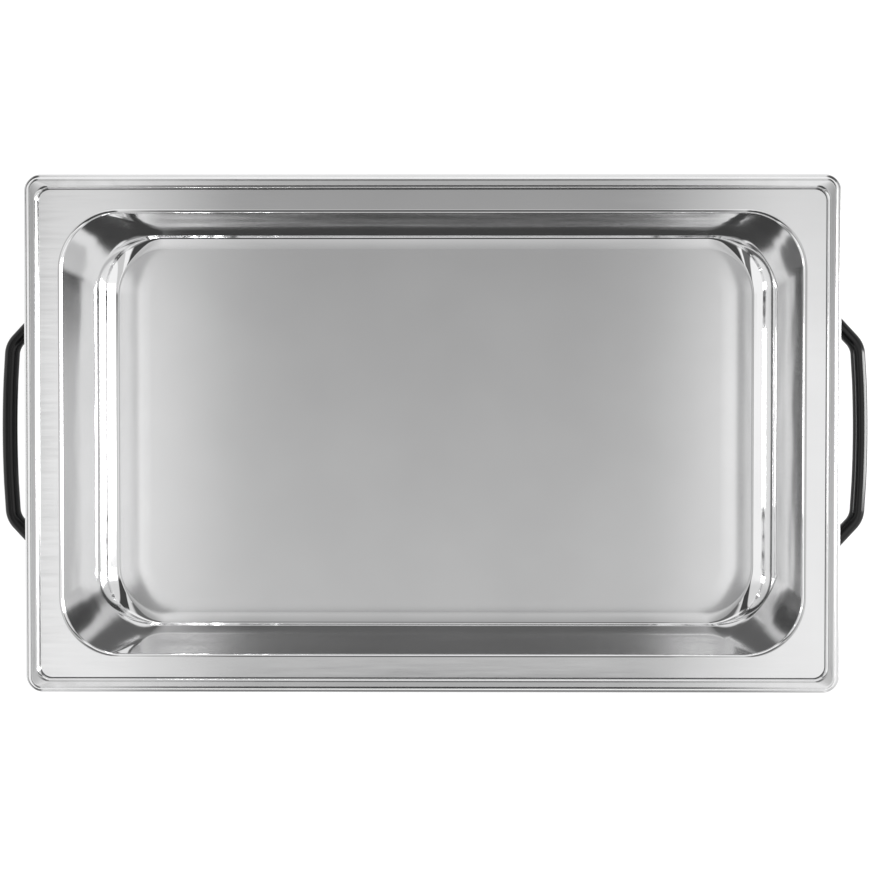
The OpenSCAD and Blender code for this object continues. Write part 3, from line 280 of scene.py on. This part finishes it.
def add_mesh(name, verts, faces, body, mats, tags=None, normals=None, replaced=()):
    """Makes a piece from millimetre points and lets it ride on a body."""
    mesh = bpy.data.meshes.new(name)
    mesh.from_pydata([Vector(v) * MM for v in verts], [], faces)
    for mat in mats:
        mesh.materials.append(mat)
    if tags:
        mesh.polygons.foreach_set("material_index", tags)
    mesh.polygons.foreach_set("use_smooth", [True] * len(mesh.polygons))
    mesh.update()
    if normals:
        mesh.normals_split_custom_set_from_vertices([Vector(n).normalized() for n in normals])
    piece = bpy.data.objects.new(name, mesh)
    bpy.context.scene.collection.objects.link(piece)
    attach(piece, body)
    if replaced:
        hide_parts(*replaced)
    return piece


def arc(centre, radius, start, end, sense=1, count=BEND_STEPS):
    """Profile points (r, z, normal r, normal z) on an arc; sense is -1 where the face is hollow."""
    points = []
    for i in range(count + 1):
        a = radians(start + (end - start) * i / count)
        r, z = centre[0] + radius * cos(a), centre[1] + radius * sin(a)
        points.append((r, z, sense * cos(a), sense * sin(a)))
    return points


def bowl(corner, floor, top, form):
    """Inside of a pressed bowl, from the lip down to the floor, as (r, z, normal r, normal z).

    The wall is pushed in by the form's kink at half height, so that it has two slopes."""
    kink, bend_r, toe_r, toe_angle = form
    slope = atan2(WALL_LEAN, top - floor)
    high = (corner - LIP * tan(slope) + LIP / cos(slope), top - LIP)
    rise = toe_r + (bend_r - toe_r) * cos(radians(toe_angle))
    low = (corner - (top - floor - rise) * tan(slope) - bend_r / cos(slope), floor + rise)
    toe = (low[0] + (bend_r - toe_r) * sin(radians(toe_angle)), floor + toe_r)
    lip = arc(high, LIP, 90, 180 - slope * 180 / pi)
    bend = arc(low, bend_r, -slope * 180 / pi, toe_angle - 90, -1, 2 * BEND_STEPS)
    wall = []
    for i in range(1, WALL_STEPS):
        share = i / WALL_STEPS
        r = lip[-1][0] + (bend[0][0] - lip[-1][0]) * share
        z = lip[-1][1] + (bend[0][1] - lip[-1][1]) * share
        reach = hypot(2 * share - 1, KINK_SOFT)
        lean = slope + atan2(kink * 2 * (1 - 2 * share) / reach, lip[-1][1] - bend[0][1])
        wall.append((r - kink * max(0.0, 1 - reach), z, -cos(lean), sin(lean)))
    return lip + wall + bend + arc(toe, toe_r, toe_angle - 90, -90, -1)[1:]


def ring(centres):
    """Corner centres and outward directions round a rounded rectangle, anticlockwise."""
    points = []
    for k, (sx, sy) in enumerate(((1, 1), (-1, 1), (-1, -1), (1, -1))):
        for i in range(CORNER_STEPS + 1):
            a = pi / 2 * (k + i / CORNER_STEPS)
            points.append((sx * centres[0], sy * centres[1], cos(a), sin(a)))
    return points


def under(point):
    """Point of the lower face of the sheet under a point of its upper face."""
    r, z, nr, nz = point
    return r - nr * SHEET, z - nz * SHEET, -nr, -nz


def round_edge(point, a):
    """Point on the half-round edge of the sheet, a from 0 at the lower face to pi at the upper face."""
    r, z, nr, nz = point
    er, ez = -cos(a) * nr, -cos(a) * nz - sin(a)
    return r + (er - nr) * SHEET / 2, z + (ez - nz) * SHEET / 2, er, ez


def pressed(name, top, body, mats, node):
    """Closed sheet from the rows of its upper face, outside to middle, as made by profile() and basin()."""
    last_finish = len(mats) - 1
    centres, side, end, gain, _ = top[0]
    rows = [(c, under(s), under(e), g, last_finish) for c, s, e, g, _ in reversed(top)]
    for i in range(1, EDGE_STEPS):
        a = pi * i / EDGE_STEPS
        rows.append((centres, round_edge(side, a), round_edge(end, a), gain, last_finish))
    rows += top
    verts, normals, faces, tags = [], [], [], []
    for centres, side, end, gain, _ in rows:
        for x, y, ox, oy in ring(centres):
            r, z, nr, nz = (e + (s - e) * oy ** CORNER_BLEND for s, e in zip(side, end))
            verts.append((x + r * ox, y + r * oy, z))
            normals.append((nr * ox, nr * oy, nz - gain * nr * (abs(ox) + abs(oy) - 1)))
    n = 4 * (CORNER_STEPS + 1)
    for i in range(len(rows) - 1):
        for j in range(n):
            k = (j + 1) % n
            faces.append((i * n + j, i * n + k, (i + 1) * n + k, (i + 1) * n + j))
            tags.append(rows[i][-1])
    last = (len(rows) - 1) * n
    faces += [tuple(range(n - 1, -1, -1)), tuple(range(last, last + n))]
    tags += [last_finish, rows[-1][-1]]
    return add_mesh(name, verts, faces, body, mats, tags, normals, (node,))


def profile(half, corner, points, ends=None):
    """Rows of (corner centres, point on long sides, point at ends, gain, finish) from a profile's points."""
    centres = half[0] - corner, half[1] - corner
    return [(centres, side, end, 0.0, FLAT_FINISH) for side, end in zip(points, ends or points)]


def basin(half, corner, floor, top):
    """Rows of a bowl whose corners widen on the way down, and of a floor that seems to rise from its ends."""
    gain = CORNER_GAIN / (top - floor)
    rows = []
    for side, end in zip(bowl(corner, floor, top, SIDE_FORM), bowl(corner, floor, top, END_FORM)):
        more = gain * (top - (side[1] + end[1]) / 2)
        centres = half[0] - corner - more, half[1] - corner - more
        rows.append((centres, (side[0] + more, *side[1:]), (end[0] + more, *end[1:]), gain, WALL_FINISH))
    centres, side, end, _, _ = rows.pop()
    for inward in [0.0, CROWN_RISE] + [CROWN_REACH * i / CROWN_STEPS for i in range(1, CROWN_STEPS + 1)]:
        turn = radians(CROWN_ANGLE) * (1 - inward / CROWN_REACH) * min(1.0, inward / CROWN_RISE)
        flat = (side[0] - inward, floor, 0.0, 1.0)
        crowned = (end[0] - inward, floor, sin(turn), cos(turn))
        rows.append((centres, flat, crowned, 0.0, FLOOR_FINISH))
    return rows


# Food pan: turned-down edge, flange, lip, wall and floor
edge_arc = arc((FLANGE_CORNER - FLANGE_ROUND, PAN_TOP - FLANGE_ROUND), FLANGE_ROUND, 0, 90)
pan_top = profile(FLANGE, FLANGE_CORNER, [(FLANGE_CORNER, SEAT + SHEET / 2, 1, 0)] + edge_arc)
pan_top += basin(OPENING, OPENING_CORNER, PAN_FLOOR, PAN_TOP)
pressed("food_pan_pressed", pan_top, "pan", (flange_steel, wall_steel, floor_steel, under_steel),
        "food_pan")

# Water pan: skirt, step, raised rim, seat and basin
steps = []
for angle in (SIDE_TILT, END_TILT):
    tilt = radians(angle)
    skirt = [(SKIRT_CORNER, SKIRT_FOOT + SHEET / 2, 1, 0)]
    skirt += arc((SKIRT_CORNER - STEP_ROUND, STEP - STEP_ROUND), STEP_ROUND, 0, 90 - angle)
    shelf = SKIRT[0] - STEP_ROUND * (1 - sin(tilt)) - RIM[0] - CREASE * (1 - sin(tilt))
    crease_z = STEP - STEP_ROUND * (1 - cos(tilt)) + shelf * tan(tilt) + CREASE * cos(tilt)
    steps.append((skirt, arc((RIM_CORNER + CREASE, crease_z), CREASE, -90 - angle, -180, -1)))
(skirt, crease), (end_skirt, end_crease) = steps
bead = arc((RIM_CORNER - RIM_ROUND, RIM_TOP - RIM_ROUND), RIM_ROUND, 0, 90 + RIM_TILT)
tilt = radians(RIM_TILT)
land = RIM[0] - WELL[0] - RIM_ROUND * (1 + sin(tilt)) - RIM_INNER_ROUND * (1 - sin(tilt))
inner_z = RIM_TOP - RIM_ROUND * (1 - cos(tilt)) - land * tan(tilt) - RIM_INNER_ROUND * cos(tilt)
well = arc((WELL_CORNER + RIM_INNER_ROUND, inner_z), RIM_INNER_ROUND, 90 + RIM_TILT, 180)
well += arc((WELL_CORNER - CREASE, SEAT + CREASE), CREASE, 0, -90, -1)
rim_top = profile(SKIRT, SKIRT_CORNER, skirt, end_skirt) + profile(RIM, RIM_CORNER, crease, end_crease)
rim_top += profile(RIM, RIM_CORNER, bead) + profile(WELL, WELL_CORNER, well)
rim_top += basin(BASIN, BASIN_CORNER, BASIN_FLOOR, SEAT)
pressed("water_pan_pressed", rim_top, "base", (rim_steel, basin_steel, floor_steel, under_steel),
        "water_pan")


def rounded(before, at, after, radius, count=10):
    """Points of a round corner at a bend of a flat path."""
    u, v = (before - at).normalized(), (after - at).normalized()
    turn = pi - u.angle(v)
    reach = radius * tan(turn / 2)
    start, end = at + u * reach, at + v * reach
    middle = at + (u + v).normalized() * radius / cos(turn / 2)
    points = []
    for i in range(count + 1):
        share = i / count
        a = start - middle
        b = end - middle
        points.append(middle + (a * sin((1 - share) * turn) + b * sin(share * turn)) / sin(turn))
    return points


def handle_path():
    """Middle line of a handle from one foot to the other, as distance from the housing and y."""
    def grip(y):
        return Vector((HANDLE_REACH - GRIP_BOW * (y / GRIP_HALF) ** 2, y))
    root, knee = Vector((0, HANDLE_PITCH / 2)), Vector((LEG, HANDLE_PITCH / 2))
    corner = grip(GRIP_HALF)
    half = [root] + rounded(root, knee, corner, HANDLE_BEND)
    half += rounded(knee, corner, grip(GRIP_HALF / 2), HANDLE_BEND)
    half += [grip(GRIP_HALF * share) for share in (0.6, 0.45, 0.3, 0.15)]
    return half + [grip(0)] + [Vector((p.x, -p.y)) for p in reversed(half)]


def handle(name, side, node):
    """Swept bar with a rounded section and a turned pad at each foot."""
    quarter = [(HANDLE_SIZE[0] / 2, HANDLE_SIZE[1] / 2, 1.0, 0.0)]
    start = 0.0
    for radius, end in HANDLE_ROUNDS:
        s, up, ns, nu = quarter[-1]
        quarter += arc((s - radius * ns, up - radius * nu), radius, start, end, 1, SECTION_STEPS)[1:]
        start = end
    section = quarter + [(-s, up, -ns, nu) for s, up, ns, nu in reversed(quarter)]
    section += [(-s, -up, -ns, -nu) for s, up, ns, nu in section]
    path = handle_path()
    verts, normals, faces = [], [], []
    n = len(section)
    for i, p in enumerate(path):
        along = (path[min(i + 1, len(path) - 1)] - path[max(i - 1, 0)]).normalized()
        for s, up, ns, nu in section:
            verts.append((side * (HOUSE_X + p.x + s * -along.y), p.y + s * along.x, HANDLE_Z + up))
            normals.append((side * ns * -along.y, ns * along.x, nu))
    faces += [(i * n + j, i * n + (j + 1) % n, (i + 1) * n + (j + 1) % n, (i + 1) * n + j)
              for i in range(len(path) - 1) for j in range(n)]
    last = (len(path) - 1) * n
    faces += [tuple(range(n - 1, -1, -1)), tuple(range(last, last + n))]
    pad_edge = arc((PAD_R - PAD_ROUND, PAD_HEIGHT - PAD_ROUND), PAD_ROUND, 0, 90, 1, SECTION_STEPS)
    turned = [(0.0, PAD_R, 0, 1)] + [(x, r, nx, nr) for r, x, nr, nx in pad_edge]
    turned.append((PAD_HEIGHT, PAD_HOLE, 1, 0))
    n = PAD_STEPS
    for sy in (-1, 1):
        start = len(verts)
        for x, r, nx, nr in turned:
            for j in range(n):
                a = 2 * pi * j / n
                y, z = sy * HANDLE_PITCH / 2 + r * cos(a), HANDLE_Z + r * sin(a)
                verts.append((side * (HOUSE_X + x), y, z))
                normals.append((side * nx, nr * cos(a), nr * sin(a)))
        for i in range(len(turned) - 1):
            row = start + i * n
            faces += [(row + j, row + (j + 1) % n, row + n + (j + 1) % n, row + n + j) for j in range(n)]
        top = start + (len(turned) - 1) * n
        faces += [tuple(range(start + n - 1, start - 1, -1)), tuple(range(top, top + n))]
    if side < 0:
        faces = [tuple(reversed(f)) for f in faces]
    mats = (finishes["handle_black"],)
    return add_mesh(name, verts, faces, "base", mats, None, normals, (node,))


handle("handle_right_swept", 1, "handle_right")
handle("handle_left_swept", -1, "handle_left")


def mark(name, words, place, tilt, size, body):
    """Raised print that faces the front; tilt turns its top towards the front, in degrees."""
    text = bpy.data.curves.new(name, "FONT")
    text.body = words
    text.size = size * MM
    text.align_x = "CENTER"
    text.align_y = "CENTER"
    text.extrude = MARK_LIFT * MM
    text.materials.append(mark_white)
    piece = bpy.data.objects.new(name, text)
    piece.location = Vector(place) * MM
    piece.rotation_euler = (radians(90 + tilt), 0, 0)
    bpy.context.scene.collection.objects.link(piece)
    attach(piece, body)


def bars(name, places, front, back, body):
    """Round-ended bars on the front, each from (x, z, turn from upright, length, width)."""
    verts, faces = [], []
    n = BAR_STEPS
    for x, z, turn, length, width in places:
        start = len(verts)
        for y in (back, front):
            for i in range(n):
                a = 2 * pi * (i + 0.5) / n
                across = width / 2 * cos(a)
                along = width / 2 * sin(a) + (length - width) / 2 * (1 if sin(a) > 0 else -1)
                dx = across * cos(turn) + along * sin(turn)
                dz = along * cos(turn) - across * sin(turn)
                verts.append((x + dx, y, z + dz))
        faces += [tuple(range(start + n - 1, start - 1, -1)), tuple(range(start + n, start + 2 * n))]
        faces += [(start + i, start + (i + 1) % n, start + n + (i + 1) % n, start + n + i) for i in range(n)]
    piece = add_mesh(name, verts, faces, body, (mark_white,))
    piece.data.polygons.foreach_set("use_smooth", [False] * len(faces))


# Dial numbers and ticks, the knob's pointer line and the switch's marks
for step in range(DIAL_MARKS):
    turn = radians(DIAL_STEP * step)
    place = (DIAL_R * sin(turn), PANEL_Y, CONTROL_Z + DIAL_R * cos(turn))
    mark("dial_number_%d" % step, str(step), place, 0, DIGIT_SIZE, "base")
half_turns = [radians(DIAL_STEP * (step + 0.5)) for step in range(DIAL_MARKS - 1)]
bars("dial_ticks", [(DIAL_R * sin(turn), CONTROL_Z + DIAL_R * cos(turn), turn, *TICK) for turn in half_turns],
     PANEL_Y - MARK_LIFT, PANEL_Y + MARK_LIFT, "base")
notch_width, notch_length, notch_depth = KNOB_NOTCH
pointer = (0, CONTROL_Z + KNOB_HALF - notch_length / 2, 0, notch_length - NOTCH_END, notch_width - NOTCH_SIDE)
bars("knob_pointer", [pointer], KNOB_FRONT + NOTCH_SUNK, KNOB_FRONT + notch_depth - NOTCH_BED, "dial")
slant = atan2(ROCKER_DIP, ROCKER_HALF)
for name, words, half in (("switch_mark_on", "I", 1), ("switch_mark_off", "O", -1)):
    out, up = ROCKER_FRONT - ROCKER_DIP / 2, half * ROCKER_HALF / 2
    a = radians(SWITCH_TILT)
    place = (SWITCH_X, PIVOT_Y - out * cos(a) - up * sin(a), CONTROL_Z - out * sin(a) + up * cos(a))
    mark(name, words, place, SWITCH_TILT + half * slant * 180 / pi, DIGIT_SIZE, "rocker")

# Soft edges on the carried-over solids that are seen from outside
SOFT_EDGES = {
    0.2: ("base_screws",),
    0.3: ("control_panel", "switch_body", "switch_rocker", "inlet_plate", "power_lamp_lens", "heat_lamp_lens",
          "inlet_rivets"),
    0.4: ("knob", "power_inlet"),
    0.8: ("foot_front_left", "foot_front_right", "foot_rear_left", "foot_rear_right"),
}
WELD_REACH, SHARP_ANGLE = 1e-6, 40.0
for width, names in SOFT_EDGES.items():
    for name in names:
        weld = nodes[name].modifiers.new("weld", "WELD")
        weld.merge_threshold = WELD_REACH
        soften = nodes[name].modifiers.new("soften", "BEVEL")
        soften.width = width * MM
        soften.segments = 2
        soften.limit_method = "ANGLE"
        soften.angle_limit = radians(SHARP_ANGLE)
        nodes[name].modifiers.new("shade", "WEIGHTED_NORMAL")

# White floor with a soft real shadow from its diffuse part and a painted shadow in its emission near the
# object, and the light round the object
FLOOR_HALF, FLOOR_ALBEDO, FLOOR_GLOW = 2.5, 0.3, 0.9
# Half sizes of the darkest part of the painted shadow under the object, how far it fades, and the emission
# left in its darkest part
PAINTED_SHADOW_EDGE, PAINTED_SHADOW_REACH, PAINTED_SHADOW_GLOW = (225.0, 125.0), 70.0, 0.15
floor = bpy.data.objects.new("floor", bpy.data.meshes.new("floor"))
corners = [(sx * FLOOR_HALF, sy * FLOOR_HALF, 0) for sx, sy in ((-1, -1), (1, -1), (1, 1), (-1, 1))]
floor.data.from_pydata(corners, [], [(0, 1, 2, 3)])
bpy.context.scene.collection.objects.link(floor)
paper, tree, shader = material("floor_white", Roughness=0.9, Specular_IOR_Level=0.0)
shader.inputs["Base Color"].default_value = (FLOOR_ALBEDO, FLOOR_ALBEDO, FLOOR_ALBEDO, 1)
shader.inputs["Emission Color"].default_value = (1, 1, 1, 1)
rays = tree.nodes.new("ShaderNodeLightPath")
seen = math_node(tree, "MAXIMUM", rays.outputs["Is Camera Ray"], rays.outputs["Is Glossy Ray"])
seen = math_node(tree, "MAXIMUM", seen, rays.outputs["Is Transmission Ray"])
place = tree.nodes.new("ShaderNodeTexCoord")
split = tree.nodes.new("ShaderNodeSeparateXYZ")
tree.links.new(place.outputs["Object"], split.inputs["Vector"])
# Painted shadow: the floor's emission is turned down near the object's footprint and is darkest under it
beyond = []
for axis, edge in zip(split.outputs, PAINTED_SHADOW_EDGE):
    past = math_node(tree, "SUBTRACT", math_node(tree, "ABSOLUTE", axis), edge * MM)
    past = math_node(tree, "MAXIMUM", past, 0.0)
    beyond.append(math_node(tree, "MULTIPLY", past, past))
away = math_node(tree, "SQRT", math_node(tree, "ADD", *beyond))
floor_glow_with_painted_shadow = ramp(tree, away, 0.0, PAINTED_SHADOW_REACH * MM, PAINTED_SHADOW_GLOW, FLOOR_GLOW)
tree.links.new(math_node(tree, "MULTIPLY", seen, floor_glow_with_painted_shadow), shader.inputs["Emission Strength"])
# From below the floor is clear, so that the underside can be looked at
below = tree.nodes.new("ShaderNodeMixShader")
tree.links.new(tree.nodes.new("ShaderNodeNewGeometry").outputs["Backfacing"], below.inputs["Fac"])
tree.links.new(shader.outputs["BSDF"], below.inputs[1])
tree.links.new(tree.nodes.new("ShaderNodeBsdfTransparent").outputs["BSDF"], below.inputs[2])
tree.links.new(below.outputs["Shader"], tree.nodes["Material Output"].inputs["Surface"])
floor.data.materials.append(paper)

world = bpy.data.worlds.new("studio")
bpy.context.scene.world = world
world.use_nodes = True
tree = world.node_tree
place = tree.nodes.new("ShaderNodeTexCoord")
split = tree.nodes.new("ShaderNodeSeparateXYZ")
tree.links.new(place.outputs["Generated"], split.inputs["Vector"])
x, y, z = split.outputs
# Levels of the room's parts, where 1 is white; their edges follow as shares of the direction's x, y or z
MIDDLE, MIDDLE_SLOPE, MIDDLE_BEHIND = 0.49, -0.45, 0.14
BOX_FRONT, BOX_BEHIND = 1.0, 0.75
DARK, SHADE_LEFT, SHADE_RIGHT = 0.06, 0.15, 0.65
WINDOW, BACK_WALL, FRONT_WALL, HORIZON = 1.5, 0.95, 0.3, 1.0
STRIP_LEFT, STRIP_RIGHT = 1.0, 14.0
BOX_MIDDLE, GAP_MIDDLE, GAP_WIDER = -0.025, 0.03, 0.055
FALL = (1.0, 0.0)
across = math_node(tree, "ABSOLUTE", math_node(tree, "SUBTRACT", x, BOX_MIDDLE))
# Dim ceiling between two side boxes, brighter to the front and dark behind
middle = math_node(tree, "MULTIPLY_ADD", y, MIDDLE_SLOPE, MIDDLE)
middle = mix(tree, middle, MIDDLE_BEHIND, ramp(tree, y, 0.3, 0.36))
box = ramp(tree, y, 0.0, 0.3, BOX_FRONT, BOX_BEHIND)
lit = mix(tree, middle, box, ramp(tree, across, 0.2, 0.36))
# Gap between each side box and the bright room beyond it, wider at the right towards the back
aside = math_node(tree, "ABSOLUTE", math_node(tree, "SUBTRACT", x, GAP_MIDDLE))
back = ramp(tree, y, 0.03, 0.09)
wider = math_node(tree, "MULTIPLY", ramp(tree, x, 0.0, 0.1, 0.0, GAP_WIDER), back)
near = math_node(tree, "ADD", aside, wider)
gap = math_node(tree, "MULTIPLY", ramp(tree, near, 0.465, 0.485), ramp(tree, aside, 0.68, 0.72, *FALL))
shade = ramp(tree, x, -0.2, 0.2, SHADE_LEFT, SHADE_RIGHT)
lit = mix(tree, lit, mix(tree, shade, DARK, ramp(tree, y, 0.02, 0.14)), gap)
# Dark front below the ceiling's middle
dark = math_node(tree, "MULTIPLY", ramp(tree, y, -0.3, -0.32), ramp(tree, across, 0.27, 0.36, *FALL))
lit = mix(tree, lit, DARK, dark)
# Two windows low in front and two behind
window = math_node(tree, "MULTIPLY", ramp(tree, across, 0.24, 0.25), ramp(tree, across, 0.28, 0.29, *FALL))
front = math_node(tree, "MULTIPLY", ramp(tree, y, -0.3, -0.31), ramp(tree, y, -0.345, -0.335))
rear = math_node(tree, "MULTIPLY", ramp(tree, y, 0.38, 0.39), ramp(tree, y, 0.425, 0.435, *FALL))
lit = mix(tree, lit, WINDOW, math_node(tree, "MULTIPLY", window, math_node(tree, "ADD", front, rear)))
# Walls behind and in front, and the pale horizon
lit = mix(tree, lit, BACK_WALL, ramp(tree, y, 0.76, 0.86))
lit = mix(tree, lit, FRONT_WALL, ramp(tree, y, -0.84, -0.92))
lit = mix(tree, lit, HORIZON, ramp(tree, z, 0.15, 0.09))
# Low bright strip at each end, which the handles mirror
strip = math_node(tree, "MULTIPLY", ramp(tree, across, 0.8, 0.83), ramp(tree, z, 0.02, 0.05))
strip = math_node(tree, "MULTIPLY", strip, ramp(tree, math_node(tree, "ABSOLUTE", y), 0.1, 0.16, *FALL))
lit = mix(tree, lit, ramp(tree, x, -0.5, 0.5, STRIP_LEFT, STRIP_RIGHT), strip)
rays = tree.nodes.new("ShaderNodeLightPath")
strength = math_node(tree, "MAXIMUM", lit, rays.outputs["Is Camera Ray"])
tree.links.new(strength, tree.nodes["Background"].inputs["Strength"])
tree.nodes["Background"].inputs["Color"].default_value = (1, 1, 1, 1)

# Camera fitted to the photograph, which looks straight down
CAMERA_AT, CAMERA_TURN = (0.02406, 0.02344, 0.76509), (-0.01098, 0.0035, 0.0004)
SENSOR, LENS, LENS_SHIFT, NEAREST = 36.0, 36.809, (-0.0340, -0.0296), 0.05
camera = bpy.data.objects.new("camera", bpy.data.cameras.new("camera"))
camera.location = CAMERA_AT
camera.rotation_euler = CAMERA_TURN
camera.data.sensor_width = SENSOR
camera.data.lens = LENS
camera.data.shift_x, camera.data.shift_y = LENS_SHIFT
camera.data.clip_start = NEAREST
bpy.context.scene.collection.objects.link(camera)
bpy.context.scene.camera = camera
bpy.context.scene.view_settings.view_transform = "Standard"
